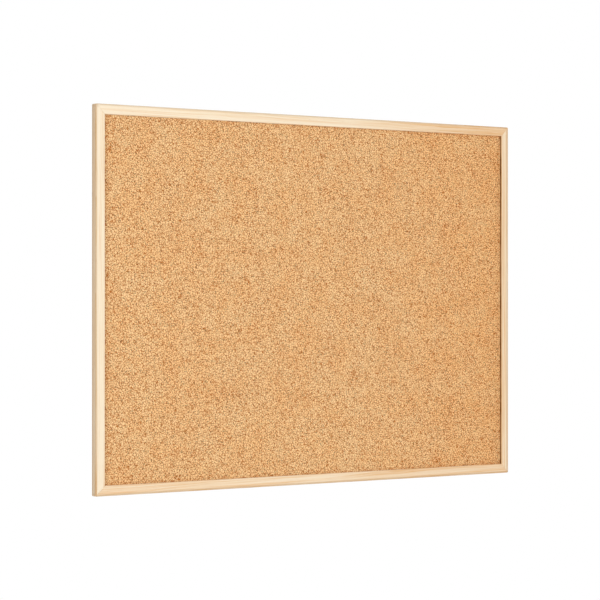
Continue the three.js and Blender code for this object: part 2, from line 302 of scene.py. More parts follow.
class PinBoardSettings(bpy.types.PropertyGroup):
    """Everything that can be set on the pin board"""

    pine: PointerProperty(type=PineSettings)
    cork: PointerProperty(type=CorkSettings)
    paper: PointerProperty(type=PaperSettings)
    fittings: PointerProperty(type=FittingSettings)
    stage: PointerProperty(type=StageSettings)


# Shader nodes

MIX_FACTOR, MIX_FIRST, MIX_SECOND, MIX_RESULT = 0, 6, 7, 2
VECTOR, COLOUR, VALUE = "NodeSocketVector", "NodeSocketColor", "NodeSocketFloat"
WHITE = (1.0, 1.0, 1.0)
# Nearly all of a noise lies in the wide range, and most of it in the middle one.
NOISE_MEAN = 0.5
NOISE_WIDE = (0.3, 0.7)
NOISE_MIDDLE = (0.35, 0.65)


def opaque(colour):
    return (*colour, 1.0)


def fill(tree, node, inputs):
    """Links the inputs that are given sockets, and sets those that are given values."""
    for key, value in inputs.items():
        if isinstance(value, bpy.types.NodeSocket):
            tree.links.new(value, node.inputs[key])
        else:
            node.inputs[key].default_value = value


def add_node(tree, kind, inputs=None, **settings):
    node = tree.nodes.new(kind)
    for name, value in settings.items():
        setattr(node, name, value)
    fill(tree, node, inputs or {})
    return node


def calc(tree, operation, *values):
    return add_node(tree, "ShaderNodeMath", dict(enumerate(values)), operation=operation).outputs[0]


def span(tree, value, low, high, out_low=0.0, out_high=1.0):
    """Eases from one value to the other as the input goes from low to high."""
    inputs = {"Value": value, "From Min": low, "From Max": high, "To Min": out_low, "To Max": out_high}
    node = add_node(tree, "ShaderNodeMapRange", inputs, interpolation_type="SMOOTHSTEP")
    return node.outputs["Result"]


def swayed(tree, value, pattern, amount):
    """The value raised and lowered by a noise."""
    return calc(tree, "MULTIPLY_ADD", calc(tree, "SUBTRACT", pattern, NOISE_MEAN), amount, value)


def mix(tree, factor, first, second, blend_type="MIX"):
    inputs = {MIX_FACTOR: factor, MIX_FIRST: first, MIX_SECOND: second}
    node = add_node(tree, "ShaderNodeMix", inputs, data_type="RGBA", blend_type=blend_type)
    return node.outputs[MIX_RESULT]


def tinted(tree, colour, tint):
    return mix(tree, 1.0, colour, opaque(tint), "MULTIPLY")


def ramp(tree, factor, stops):
    node = add_node(tree, "ShaderNodeValToRGB", {"Fac": factor})
    elements = node.color_ramp.elements
    while len(elements) < len(stops):
        elements.new(1.0)
    for element, (place, colour) in zip(elements, stops):
        element.position = place
        element.color = opaque(colour)
    return node.outputs["Color"]


def stretched(tree, vector, scale):
    node = add_node(tree, "ShaderNodeVectorMath", {0: vector, 1: scale}, operation="MULTIPLY")
    return node.outputs["Vector"]


def shifted(tree, vector, offset):
    node = add_node(tree, "ShaderNodeVectorMath", {0: vector, 1: offset}, operation="ADD")
    return node.outputs["Vector"]


def noise(tree, vector, scale, detail=2.0, roughness=0.5):
    inputs = {"Vector": vector, "Scale": scale, "Detail": detail, "Roughness": roughness}
    return add_node(tree, "ShaderNodeTexNoise", inputs).outputs


def drawn_out(tree, vector, scales, detail=2.0, roughness=0.5):
    """A noise with a scale of its own along each axis."""
    return noise(tree, stretched(tree, vector, scales), 1.0, detail, roughness)


def offset_by(tree, pattern, reach):
    """A noise's colour as an offset, with a reach along each axis."""
    return stretched(tree, shifted(tree, pattern, (-NOISE_MEAN,) * 3), reach)


def wandering(tree, place, scale, reach):
    """The place moved about by a noise, so that what is drawn there gets ragged edges."""
    return shifted(tree, place, offset_by(tree, noise(tree, place, scale)["Color"], (reach,) * 3))


def cells(tree, vector, size, feature="F1"):
    """Voronoi cells of that mean size."""
    inputs = {"Vector": vector, "Scale": 1 / size}
    return add_node(tree, "ShaderNodeTexVoronoi", inputs, feature=feature).outputs


def object_place(tree):
    return add_node(tree, "ShaderNodeTexCoord").outputs["Object"]


def axes_of(tree, vector):
    return add_node(tree, "ShaderNodeSeparateXYZ", {"Vector": vector}).outputs


def bumped(tree, height, distance, strength):
    inputs = {"Height": height, "Distance": distance, "Strength": strength}
    return add_node(tree, "ShaderNodeBump", inputs).outputs["Normal"]


def new_material(name):
    """A material with only its Principled shader."""
    material = bpy.data.materials.new(name)
    material.use_nodes = True
    tree = material.node_tree
    tree.nodes.clear()
    shader = add_node(tree, "ShaderNodeBsdfPrincipled")
    add_node(tree, "ShaderNodeOutputMaterial", {"Surface": shader.outputs["BSDF"]})
    return material, tree, shader


def new_group(name, inputs, outputs):
    """A shader node group with these sockets, what it is given, and the node for its results."""
    tree = bpy.data.node_groups.new(name, "ShaderNodeTree")
    for socket, (kind, default) in inputs.items():
        made = tree.interface.new_socket(socket, in_out="INPUT", socket_type=kind)
        if default is not None:
            made.default_value = default
    for socket, kind in outputs.items():
        tree.interface.new_socket(socket, in_out="OUTPUT", socket_type=kind)
    return tree, add_node(tree, "NodeGroupInput").outputs, add_node(tree, "NodeGroupOutput")


def place_group(tree, name, build, inputs):
    """Places a node group, which is built for the first material that asks for it."""
    group = bpy.data.node_groups.get(name) or build(name)
    return add_node(tree, "ShaderNodeGroup", inputs, node_tree=group).outputs


# Pine

# Noises in the wood, to the metre inwards, backwards and along a rail.
RING_WANDER = (60.0, 60.0, 9.0)
FIBRES = (1400.0, 1400.0, 40.0)
STREAKS = (330.0, 330.0, 6.0)
FLECKS = (2200.0, 2200.0, 160.0)
# How far the rings wander, and where a rail lies from the heart of its tree.
RING_REACH = (8 * MM, 8 * MM, 0.0)
FROM_HEART = (21 * MM, 34 * MM, 0.0)
# One period of the wave texture at a scale of 1, and how late in its year a ring darkens.
WAVE_PERIOD = math.pi / 10
RING_POWER = 2.5
# How much the streaks and the fibres change the wood's warmth.
STREAK_WARMTH = 1.35
FIBRE_WARMTH = 0.55
LATEWOOD_TINT = (0.88, 0.74, 0.5)
RESIN = (0.45, 0.24, 0.1)
# Where along the wood a rail is cut: for the left stile, and more for each radian of turn.
CUT_START = 1.0
CUT_PER_RADIAN = 3.0
# Where a rail's marks begin and end, in from its outer edge, back from its front or out from its lip.
WARM_EDGE = (0.2 * MM, 2.5 * MM)
# Painted shade on the rounded outer edges and the outer sides.
EDGE_SHADE_FROM = 0.9 * MM
EDGE_SHADE_CORNER = (1 * MM, 5 * MM)
EDGE_SHADE_FRONT = (1 * MM, 3 * MM)
EDGE_SHADE_BACK = (4 * MM, 8 * MM)
# Painted shadow on the lip's inner face, and its warm painted fringe on the front.
SHADOWED_FRONT = (0.03 * MM, 0.25 * MM)
SHADOWED_LIP = (0.25 * MM, 0.7 * MM)
SHADOWED_FRINGE = (0.6 * MM, 1.1 * MM)
# How far along a rail from its end the corner is darkened.
CORNER_REACH = 7 * MM


def pine_grain(name):
    """Growth rings, fibres and resin flecks along the third axis of the place given."""
    inputs = {
        "Place": (VECTOR, None), "Pale": (COLOUR, None), "Warm": (COLOUR, None),
        "Warmth": (VALUE, 0.5), "Ring Spacing": (VALUE, 2.6 * MM), "Roughness": (VALUE, 0.55),
    }
    tree, given, result = new_group(name, inputs, {"Color": COLOUR, "Roughness": VALUE, "Height": VALUE})
    place = given["Place"]
    wander = offset_by(tree, drawn_out(tree, place, RING_WANDER)["Color"], RING_REACH)
    from_heart = shifted(tree, shifted(tree, place, wander), FROM_HEART)
    ring_scale = calc(tree, "DIVIDE", WAVE_PERIOD, given["Ring Spacing"])
    wave = add_node(tree, "ShaderNodeTexWave", {"Vector": from_heart, "Scale": ring_scale},
                    wave_type="RINGS", rings_direction="Z", wave_profile="SAW").outputs["Fac"]
    ring = calc(tree, "POWER", wave, RING_POWER)
    fibre = drawn_out(tree, place, FIBRES, 4.0, 0.6)["Fac"]
    streak = drawn_out(tree, place, STREAKS, 3.0)["Fac"]
    fleck = drawn_out(tree, place, FLECKS, 1.0)["Fac"]
    warmth = swayed(tree, given["Warmth"], streak, STREAK_WARMTH)
    warmth = swayed(tree, warmth, fibre, FIBRE_WARMTH)
    wood = mix(tree, warmth, given["Pale"], given["Warm"])
    # The latewood lines are strongest in the streaks and in warm wood.
    latewood = calc(tree, "MULTIPLY", ring, span(tree, streak, 0.35, 0.6, 0.3, 1.0))
    latewood = calc(tree, "MULTIPLY", latewood, span(tree, given["Warmth"], 0.0, 0.5, 0.5, 1.0))
    wood = mix(tree, latewood, wood, tinted(tree, wood, LATEWOOD_TINT))
    wood = mix(tree, span(tree, fleck, 0.66, 0.78, 0.0, 0.35), wood, opaque(RESIN))
    fill(tree, result, {
        "Color": wood,
        "Roughness": swayed(tree, given["Roughness"], fibre, 0.4),
        "Height": calc(tree, "MULTIPLY_ADD", ring, 0.6, fibre),
    })
    return tree


def rail_place(tree, node):
    """The place inwards from a rail's outer edge, backwards, and along it from its middle."""
    turn, reach, _ = RAILS[node]
    offset = Vector((reach, 0, 0)) - Matrix.Rotation(-turn, 3, "Y") @ Vector((0, 0, CENTRE_Z))
    inputs = {"Vector": object_place(tree), "Rotation": (0, -turn, 0), "Location": offset}
    return add_node(tree, "ShaderNodeMapping", inputs).outputs["Vector"]


def pine_material(node, pine, finish):
    """Pine for one rail, with painted shade at its outer edges and painted shadow at its lip."""
    material, tree, shader = new_material(f"Pine of the {node}")
    turn, _, half_length = RAILS[node]
    place = rail_place(tree, node)
    inward, back, along = axes_of(tree, place)
    depth = calc(tree, "SUBTRACT", back, FRONT_Y)
    to_lip = calc(tree, "SUBTRACT", RAIL_WIDTH, inward)
    to_end = calc(tree, "SUBTRACT", half_length, calc(tree, "ABSOLUTE", along))
    start, middle, end = finish.tones
    warmth = span(tree, along, -half_length, 0.0, start, middle)
    warmth = calc(tree, "ADD", warmth, span(tree, along, 0.0, half_length, 0.0, end - middle))
    # On the left stile this edge warmth is partly painted shade on its outer side.
    warmth = calc(tree, "ADD", warmth, span(tree, inward, *WARM_EDGE, finish.edge_warmth, 0.0))
    # Each rail is cut from another length of wood.
    cut = (0, 0, CUT_START + CUT_PER_RADIAN * turn)
    inputs = {"Vector": place, "Rotation": (0, finish.slant, 0), "Location": cut}
    wood = place_group(tree, "Pine grain", pine_grain, {
        "Place": add_node(tree, "ShaderNodeMapping", inputs).outputs["Vector"],
        "Pale": opaque(pine.pale), "Warm": opaque(pine.warm), "Warmth": warmth,
        "Ring Spacing": pine.ring_spacing, "Roughness": pine.roughness,
    })
    # Painted shade darkens the rounded outer edges, front and back, set for each side; the corners are
    # darkened most of all.
    edges = calc(tree, "MAXIMUM", span(tree, depth, *EDGE_SHADE_FRONT, 1.0, 0.2),
                 span(tree, depth, *EDGE_SHADE_BACK, 0.0, 0.9))
    edges = calc(tree, "MULTIPLY", edges,
                 span(tree, inward, EDGE_SHADE_FROM, finish.handled_width, finish.handling, 0.0))
    corners = calc(tree, "MULTIPLY", span(tree, to_end, 0.0, CORNER_REACH, 0.7, 0.0),
                   span(tree, inward, *EDGE_SHADE_CORNER, 1.0, 0.0))
    handled = calc(tree, "MAXIMUM", edges, corners)
    colour = mix(tree, handled, wood["Color"], tinted(tree, wood["Color"], pine.handled))
    # The lip's inner face carries painted shadow, uneven, and its warm painted fringe creeps a little into
    # the front.
    blotch = noise(tree, place, 40.0, 3.0)["Fac"]
    stain = span(tree, blotch, *NOISE_MIDDLE, 0.7 * finish.stain, finish.stain)
    shadow_fringe = calc(tree, "MULTIPLY", span(tree, to_lip, *SHADOWED_FRINGE, 1.0, 0.0), stain)
    colour = mix(tree, shadow_fringe, colour, opaque(pine.shadow_fringe))
    lip = calc(tree, "MULTIPLY", span(tree, to_lip, *SHADOWED_LIP, 1.0, 0.0),
               span(tree, depth, *SHADOWED_FRONT, 0.0, stain))
    fill(tree, shader, {
        "Base Color": mix(tree, lip, colour, opaque(pine.shadow)),
        "Roughness": wood["Roughness"],
        "Normal": bumped(tree, wood["Height"], 0.03 * MM, 0.6),
        "Specular IOR Level": 0.35,
    })
    return material


# Cork

# Raggedness of the cells, as noises to the grain and their reach in grains.
RAGGEDNESS = ((1.2, 0.7), (5.0, 0.3))
# Tones at which the grains have each colour, and what a granule's seam and its heart add to them.
BARK_TONE, TAN_TONE, STRAW_TONE = 0.08, 0.36, 0.64
SEAM_TONE, HEART_TONE = -0.34, 0.44
# Shares of a cell from its edge to where a seam or a gap between grains ends, in colour and in height.
SEAM_END, SEAM_SLOPE = 0.3, 0.15
GAP_END, GAP_SLOPE = 0.12, 0.25
# Size of a burnt or pale chip, in grains.
CHIP_GRAINS = 5 / 3
# Random values from which a chip is burnt or pale and a grain is an open pore: a little, and fully.
BURNT_CHIPS = (0.945, 0.965)
PALE_CHIPS = (0.92, 0.97)
OPEN_PORES = (0.97, 0.98)
# Noises to the metre.
BLUSHES = 32.0
MOTTLES = 45.0
BROAD_PATCHES = 14.0
# Where the sheet begins to redden to its right edge, as a share of half its width.
RIGHT_REDNESS_FROM = 0.2
REDDER_TINT = (1.0, 0.86, 0.72)
# Tint of the painted shade beside the frame's lip.
MARGIN_SHADE_TINT = (0.45, 0.38, 0.33)


def painted_margin_shade(tree, place, widths, strengths):
    """Painted shade on the cork from the frame's lip: strongest at the lip, and gone at each side's width
    from it.
    """
    x, _, z = axes_of(tree, place)
    insets = (
        calc(tree, "ADD", x, SIGHT_HALF_WIDTH),
        calc(tree, "SUBTRACT", SIGHT_HALF_WIDTH, x),
        calc(tree, "SUBTRACT", z, CENTRE_Z - SIGHT_HALF_HEIGHT),
        calc(tree, "SUBTRACT", CENTRE_Z + SIGHT_HALF_HEIGHT, z),
    )
    margin_shade = 0.0
    for inset, width, strength in zip(insets, widths, strengths):
        margin_shade = calc(tree, "MAXIMUM", margin_shade, span(tree, inset, 0.0, width, strength, 0.0))
    return margin_shade


def redness(tree, place, right_redness):
    """Slow blushes all over, and more towards the right edge."""
    blush = span(tree, noise(tree, place, BLUSHES, 3.0)["Fac"], *NOISE_WIDE, 0.12, 0.6)
    across = axes_of(tree, place)["X"]
    toward_right = span(tree, across, RIGHT_REDNESS_FROM * HALF_WIDTH, HALF_WIDTH, 0.0, right_redness)
    return calc(tree, "ADD", blush, toward_right)


def mottling(tree, place):
    """A grey that is darker and paler by patches, about a half."""
    mottle = span(tree, noise(tree, place, MOTTLES, 3.0)["Fac"], *NOISE_WIDE, 0.46, 0.54)
    patch = span(tree, noise(tree, place, BROAD_PATCHES)["Fac"], *NOISE_WIDE, -0.03, 0.03)
    return calc(tree, "ADD", mottle, patch)


def cork_material(cork):
    """Pressed granules of bark and cork, with dark gaps, fine specks, broad mottling and painted shade
    beside the frame's lip.
    """
    material, tree, shader = new_material("Cork granules")
    place = object_place(tree)
    ragged = place
    for per_grain, reach in RAGGEDNESS:
        ragged = wandering(tree, ragged, per_grain / cork.grain, reach * cork.grain)
    tone, dullness, pore = axes_of(tree, cells(tree, ragged, cork.grain)["Color"])
    burnt, pale, _ = axes_of(tree, cells(tree, ragged, CHIP_GRAINS * cork.grain)["Color"])
    gap = cells(tree, ragged, cork.grain, "DISTANCE_TO_EDGE")["Distance"]
    seam = cells(tree, ragged, cork.granule, "DISTANCE_TO_EDGE")["Distance"]
    flesh = noise(tree, place, 4 / cork.grain, 3.0, 0.6)["Fac"]
    # Each granule is pale at heart, and dark at the seam round it.
    tone = swayed(tree, tone, flesh, 0.35)
    tone = calc(tree, "ADD", tone, span(tree, seam, 0.0, SEAM_END, SEAM_TONE, HEART_TONE))
    colour = ramp(tree, tone, [(BARK_TONE, cork.bark), (TAN_TONE, cork.tan), (STRAW_TONE, cork.straw)])
    reddened = tinted(tree, colour, REDDER_TINT)
    colour = mix(tree, redness(tree, place, cork.right_redness), colour, reddened)
    colour = mix(tree, span(tree, burnt, *BURNT_CHIPS, 0.0, 0.9), colour, opaque(cork.pore))
    colour = mix(tree, span(tree, pale, *PALE_CHIPS, 0.0, 0.7), colour, opaque(cork.straw))
    colour = mix(tree, span(tree, pore, *OPEN_PORES, 0.0, 0.9), colour, opaque(cork.pore))
    # The gaps are dark only here and there.
    open_gap = calc(tree, "MULTIPLY", span(tree, gap, 0.0, GAP_END, 0.8, 0.0),
                    span(tree, flesh, *NOISE_MIDDLE))
    colour = mix(tree, open_gap, colour, opaque(cork.bark))
    colour = mix(tree, 0.6, colour, mottling(tree, place), "SOFT_LIGHT")
    # Painted shade beside the frame's lip, darkest on the left.
    margin_shade = painted_margin_shade(tree, place, cork.shaded_margins, cork.margin_shade)
    height = calc(tree, "MULTIPLY_ADD", flesh, 0.8, span(tree, gap, 0.0, GAP_SLOPE))
    height = calc(tree, "ADD", height, span(tree, seam, 0.0, SEAM_SLOPE))
    fill(tree, shader, {
        "Base Color": mix(tree, margin_shade, colour, tinted(tree, colour, MARGIN_SHADE_TINT)),
        "Roughness": span(tree, dullness, 0.0, 1.0, 0.78, 0.95),
        "Normal": bumped(tree, height, 0.15 * MM, 0.6),
        "Specular IOR Level": 0.2,
    })
    return material


# Paper and softboard

# Noises to the length of a fibre, along it and across.
LAID_FIBRES = (2.0, 9.0, 9.0)
SHIVES = (0.9, 12.0, 12.0)
CROSSED_FIBRES = 5.0
# How much of the felt is laid one way.
LAID_SHARE = 0.45
# Noises to the metre.
CLOUDS = 35.0
STAINS = 14.0
FELT_DARK_TINT = (0.82, 0.79, 0.74)
FELT_PALE = (1.0, 0.9, 0.74)


def fibre_mat(name):
    """Felted fibres that lie mostly along the width, for paper and softboard."""
    inputs = {"Place": (VECTOR, None), "Base": (COLOUR, None), "Fibre Length": (VALUE, 3 * MM)}
    tree, given, result = new_group(name, inputs, {"Color": COLOUR, "Height": VALUE})
    place = given["Place"]
    base = given["Base"]
    inputs = {0: place, "Scale": calc(tree, "DIVIDE", 1.0, given["Fibre Length"])}
    in_lengths = add_node(tree, "ShaderNodeVectorMath", inputs, operation="SCALE").outputs["Vector"]
    laid = drawn_out(tree, in_lengths, LAID_FIBRES, 4.0, 0.6)["Fac"]
    crossed = noise(tree, wandering(tree, in_lengths, 1.5, 0.8), CROSSED_FIBRES, 4.0, 0.7)["Fac"]
    felt = calc(tree, "MULTIPLY_ADD", laid, LAID_SHARE, calc(tree, "MULTIPLY", crossed, 1 - LAID_SHARE))
    shive = drawn_out(tree, wandering(tree, in_lengths, 0.8, 0.5), SHIVES, 0.0)["Fac"]
    cloud = noise(tree, place, CLOUDS, 3.0)["Fac"]
    stain = noise(tree, place, STAINS, 6.0, 0.65)["Fac"]
    dark = tinted(tree, base, FELT_DARK_TINT)
    pale = mix(tree, 0.12, base, opaque(FELT_PALE))
    colour = mix(tree, span(tree, felt, 0.34, 0.66), dark, pale)
    colour = mix(tree, span(tree, shive, 0.7, 0.78, 0.0, 0.8), colour, dark)
    colour = mix(tree, span(tree, cloud, *NOISE_WIDE, 0.0, 0.4), colour, base)
    colour = mix(tree, span(tree, stain, *NOISE_MIDDLE, 0.0, 0.25), colour, dark)
    fill(tree, result, {"Color": colour, "Height": felt})
    return tree


def paper_material(name, colour, fibre_length, roughness):
    material, tree, shader = new_material(name)
    inputs = {"Place": object_place(tree), "Base": opaque(colour), "Fibre Length": fibre_length}
    felt = place_group(tree, "Felted fibres", fibre_mat, inputs)
    fill(tree, shader, {
        "Base Color": felt["Color"],
        "Roughness": roughness,
        "Normal": bumped(tree, felt["Height"], 0.05 * MM, 0.5),
        "Specular IOR Level": 0.3,
    })
    return material


# Metal

# Noises to the metre.
SCRATCHES = (9000.0, 9000.0, 700.0)
BLOOM = 450.0
DULL_TINT = (0.62, 0.62, 0.64)


def metal_wear(name):
    """Fine scratches, dulled patches and handling marks, for the steel and the zinc."""
    inputs = {"Place": (VECTOR, None), "Bright": (COLOUR, None), "Dulling": (VALUE, 0.3)}
    tree, given, result = new_group(name, inputs, {"Color": COLOUR, "Roughness": VALUE, "Height": VALUE})
    scratch = drawn_out(tree, given["Place"], SCRATCHES, 3.0)["Fac"]
    bloom = noise(tree, given["Place"], BLOOM, 4.0, 0.65)["Fac"]
    dulled = calc(tree, "MULTIPLY", span(tree, bloom, 0.4, 0.7), given["Dulling"])
    polish = span(tree, scratch, *NOISE_WIDE, 0.2, 0.36)
    fill(tree, result, {
        "Color": mix(tree, dulled, given["Bright"], tinted(tree, given["Bright"], DULL_TINT)),
        "Roughness": calc(tree, "MULTIPLY_ADD", dulled, 0.4, polish),
        "Height": scratch,
    })
    return tree


def metal_material(slot, colour, dulling):
    material, tree, shader = new_material(f"Finish of {slot}")
    inputs = {"Place": object_place(tree), "Bright": opaque(colour), "Dulling": dulling}
    worn = place_group(tree, "Metal wear", metal_wear, inputs)
    fill(tree, shader, {
        "Base Color": worn["Color"],
        "Roughness": worn["Roughness"],
        "Normal": bumped(tree, worn["Height"], 0.01 * MM, 0.4),
        "Metallic": 1.0,
    })
    return material


# Meshes

WELD_DISTANCE = 1e-6
FLAT_ANGLE = math.radians(0.5)
# Edges that turn by more than this are eased, with an angle of their own for the hangers.
SHARP_ANGLE = math.radians(40)
HANGER_SHARP_ANGLE = math.radians(50)
# Edges that turn by less than this are shaded smooth.
EASED_SMOOTH_ANGLE = math.radians(45)
SHEET_SMOOTH_ANGLE = math.radians(60)
# How far from flat, and from square, two triangles of a wire may be to make one quad.
WIRE_BEND = math.radians(30)
WIRE_SKEW = math.radians(60)
# Where a rail is cut across to round its corner, as shares of the corner's radius from the end.
CORNER_CUTS = (1.0, 0.7, 0.4, 0.2)
# The map for baking, and the share of its height kept for a sheet's hidden faces.
BAKE_MAP = "OFBake"
BAKE_STRIP = 0.05


def new_piece(name, mesh, material, body, node):
    """Puts a finished piece in place of a CAD node, on that node's body."""
    piece = bpy.data.objects.new(name, mesh)
    bpy.context.scene.collection.objects.link(piece)
    mesh.materials.append(material)
    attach(piece, body)
    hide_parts(node)
    return piece


def welded(node):
    """A copy of a CAD node's mesh to work on, with its facets joined."""
    bm = bmesh.new()
    bm.from_mesh(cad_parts[node].data)
    bmesh.ops.remove_doubles(bm, verts=bm.verts, dist=WELD_DISTANCE)
    return bm


def smooth_mesh(bm, name):
    mesh = bpy.data.meshes.new(name)
    bm.to_mesh(mesh)
    bm.free()
    mesh.shade_smooth()
    return mesh


def round_corners(bm, along, half_length, radius):
    """Rounds a rail's two outer corners, seen from the front, and keeps its mitres flat."""
    middle = Vector((0, 0, CENTRE_Z))
    for share in CORNER_CUTS:
        for side in (-1, 1):
            cut = middle + side * (half_length - share * radius) * along
            bmesh.ops.bisect_plane(bm, geom=[*bm.verts, *bm.edges, *bm.faces], plane_co=cut, plane_no=along)
    for vert in bm.verts:
        past_x = abs(vert.co.x) - (HALF_WIDTH - radius)
        past_z = abs(vert.co.z - CENTRE_Z) - (HALF_HEIGHT - radius)
        if past_x > 0 and past_z > 0:
            pull = 1 - max(past_x, past_z) / math.hypot(past_x, past_z)
            vert.co.x -= math.copysign(pull * past_x, vert.co.x)
            vert.co.z -= math.copysign(pull * past_z, vert.co.z - CENTRE_Z)


def eased_copy(node, ease, sharp_angle=SHARP_ANGLE, corner=0.0):
    """A copy of a CAD node's mesh with its flats joined and its sharp edges rounded."""
    bm = welded(node)
    bmesh.ops.dissolve_limit(bm, angle_limit=FLAT_ANGLE, verts=bm.verts, edges=bm.edges)
    sharp = [e for e in bm.edges if len(e.link_faces) == 2 and e.calc_face_angle() > sharp_angle]
    bmesh.ops.bevel(bm, geom=sharp, offset=ease, segments=2, profile=0.5, affect="EDGES",
                    clamp_overlap=True)
    if corner:
        turn, _, half_length = RAILS[node]
        round_corners(bm, Matrix.Rotation(turn, 3, "Y") @ Vector((0, 0, 1)), half_length, corner)
    mesh = smooth_mesh(bm, f"{node}_eased")
    mesh.set_sharp_from_angle(angle=EASED_SMOOTH_ANGLE)
    return mesh


def wire_copy(node):
    """A copy of a CAD wire in even quads, for a subdivision to make round."""
    bm = welded(node)
    bmesh.ops.join_triangles(bm, faces=bm.faces, angle_face_threshold=WIRE_BEND,
                             angle_shape_threshold=WIRE_SKEW)
    return smooth_mesh(bm, f"{node}_wire")


def keep_flats_flat(piece):
    piece.modifiers.new("Flat faces", "WEIGHTED_NORMAL").keep_sharp = True


def eased(share):
    return share * share * (3 - 2 * share)


def smooth_noise(rng, x, z, cell):
    """Random heights from 0 to 1 on a lattice of that cell, eased between its points."""
    u = (x - x.min()) / cell
    v = (z - z.min()) / cell
    lattice = rng.random((int(u.max()) + 2, int(v.max()) + 2))
    i = u.astype(int)
    j = v.astype(int)
    s = eased(u - i)
    t = eased(v - j)
    low = lattice[i, j] * (1 - s) + lattice[i + 1, j] * s
    high = lattice[i, j + 1] * (1 - s) + lattice[i + 1, j + 1] * s
    return low * (1 - t) + high * t


def even_lines(low, high, spacing):
    return np.linspace(low, high, round((high - low) / spacing) + 1)


def sheet_mesh(name, face, across, up, flat_y):
    """A closed sheet: a face of points on a grid, four walls and a plain rectangle at flat_y.

    The face is an array of points, and looks forward if it lies before flat_y."""
    columns, rows = len(across), len(up)
    corners = [(across[i], flat_y, up[j]) for i, j in ((0, 0), (-1, 0), (-1, -1), (0, -1))]
    points = np.vstack([face.reshape(-1, 3), corners])
    index = np.arange(columns * rows).reshape(columns, rows)
    quads = np.stack([index[:-1, :-1], index[1:, :-1], index[1:, 1:], index[:-1, 1:]], -1).reshape(-1, 4)
    first = columns * rows
    bottom_left, bottom_right, top_right, top_left = range(first, first + 4)
    walls = [
        [*index[::-1, 0], bottom_left, bottom_right],
        [*index[-1, ::-1], bottom_right, top_right],
        [*index[:, -1], top_right, top_left],
        [*index[0, :], top_left, bottom_left],
    ]
    back = [bottom_left, top_left, top_right, bottom_right]
    faces = [*quads.tolist(), *([int(k) for k in wall] for wall in walls), back]
    mesh = bpy.data.meshes.new(name)
    mesh.from_pydata(points.tolist(), [], faces)
    if face[..., 1].mean() > flat_y:
        mesh.flip_normals()
    mesh.validate()
    mesh.shade_smooth()
    mesh.set_sharp_from_angle(angle=SHEET_SMOOTH_ANGLE)
    return mesh


def bake_by_place(mesh, columns, rows):
    """Lays the map for baking out as the sheet lies, with the grid's face over nearly all of it."""
    layer = mesh.uv_layers.new(name=BAKE_MAP)
    points = np.empty(len(mesh.vertices) * 3)
    mesh.vertices.foreach_get("co", points)
    points = points.reshape(-1, 3)
    low, high = points.min(0), points.max(0)
    corner_vertex = np.empty(len(mesh.loops), int)
    mesh.loops.foreach_get("vertex_index", corner_vertex)
    uv = ((points - low) / (high - low))[corner_vertex][:, [0, 2]]
    face_corners = 4 * (columns - 1) * (rows - 1)
    uv[:face_corners, 1] = BAKE_STRIP + (1 - BAKE_STRIP) * uv[:face_corners, 1]
    uv[face_corners:, 1] *= 0.8 * BAKE_STRIP
    layer.uv.foreach_set("vector", uv.astype(np.float32).ravel())


class PINBOARD_OT_rails(bpy.types.Operator):
    """Finishes the four mitred pine rails"""

    bl_idname = "pinboard.rails"
    bl_label = "Pine rails"

    def execute(self, context):
        pine = context.scene.pin_board.pine
        tones = (pine.left_tones, pine.top_tones, pine.right_tones, pine.bottom_tones)
        by_side = zip(tones, pine.stain, pine.handling, pine.edge_shade_widths, pine.edge_warmth, pine.slant)
        for node, finish in zip(RAILS, by_side):
            material = pine_material(node, pine, RailFinish(*finish))
            mesh = eased_copy(node, pine.arris, corner=pine.corner)
            keep_flats_flat(new_piece(f"{node}_moulding", mesh, material, "board", node))
        return {"FINISHED"}


class PINBOARD_OT_cork_sheet(bpy.types.Operator):
    """Lays the granular cork sheet, rolled down where the frame's lip presses it"""

    bl_idname = "pinboard.cork_sheet"
    bl_label = "Cork sheet"

    # Most pits are shallow, the more so the higher this power.
    pit_power = 3
    sway_cells = (30 * MM, 9 * MM)
    # How far a point may lie off its grid, in spacings.
    jitter = 0.3
    # Grid lines over the edge's roll, as shares of its width.
    roll_lines = (0.1, 0.3, 0.6)

    def execute(self, context):
        cork = context.scene.pin_board.cork
        rng = np.random.default_rng(cork.seed)
        across = self.grid_lines(CORK_LOW.x, CORK_HIGH.x, cork)
        up = self.grid_lines(CORK_LOW.z, CORK_HIGH.z, cork)
        x, z = np.meshgrid(across, up, indexing="ij")
        inset = np.minimum(SIGHT_HALF_WIDTH - abs(x), SIGHT_HALF_HEIGHT - abs(z - CENTRE_Z))
        free = eased(np.clip(inset / cork.roll, 0, 1))
        pits = cork.pit * rng.random(x.shape) ** self.pit_power
        waves = sum(smooth_noise(rng, x, z, cell) for cell in self.sway_cells)
        sway = cork.sway * waves / len(self.sway_cells)
        pressed_y = CORK_HIGH.y - cork.pressed
        y = pressed_y + free * (CORK_LOW.y - pressed_y + pits + sway)
        jitter = self.jitter * cork.spacing * np.clip(inset / (2 * cork.roll) - 1, 0, 1)
        x = x + jitter * rng.uniform(-1, 1, x.shape)
        z = z + jitter * rng.uniform(-1, 1, x.shape)
        mesh = sheet_mesh("cork_sheet_granules", np.stack([x, y, z], -1), across, up, CORK_HIGH.y)
        bake_by_place(mesh, len(across), len(up))
        new_piece("cork_sheet_granules", mesh, cork_material(cork), "board", "cork_sheet")
        return {"FINISHED"}

    def grid_lines(self, low, high, cork):
        """Lines across the sheet, closer together over the edge's roll."""
        lip = RAIL_WIDTH - (HALF_WIDTH - CORK_HIGH.x)
        edge = np.array([0.0, lip, *(lip + cork.roll * np.array(self.roll_lines))])
        free = lip + cork.roll
        inner = even_lines(low + free, high - free, cork.spacing)
        return np.concatenate([low + edge, inner, (high - edge)[::-1]])


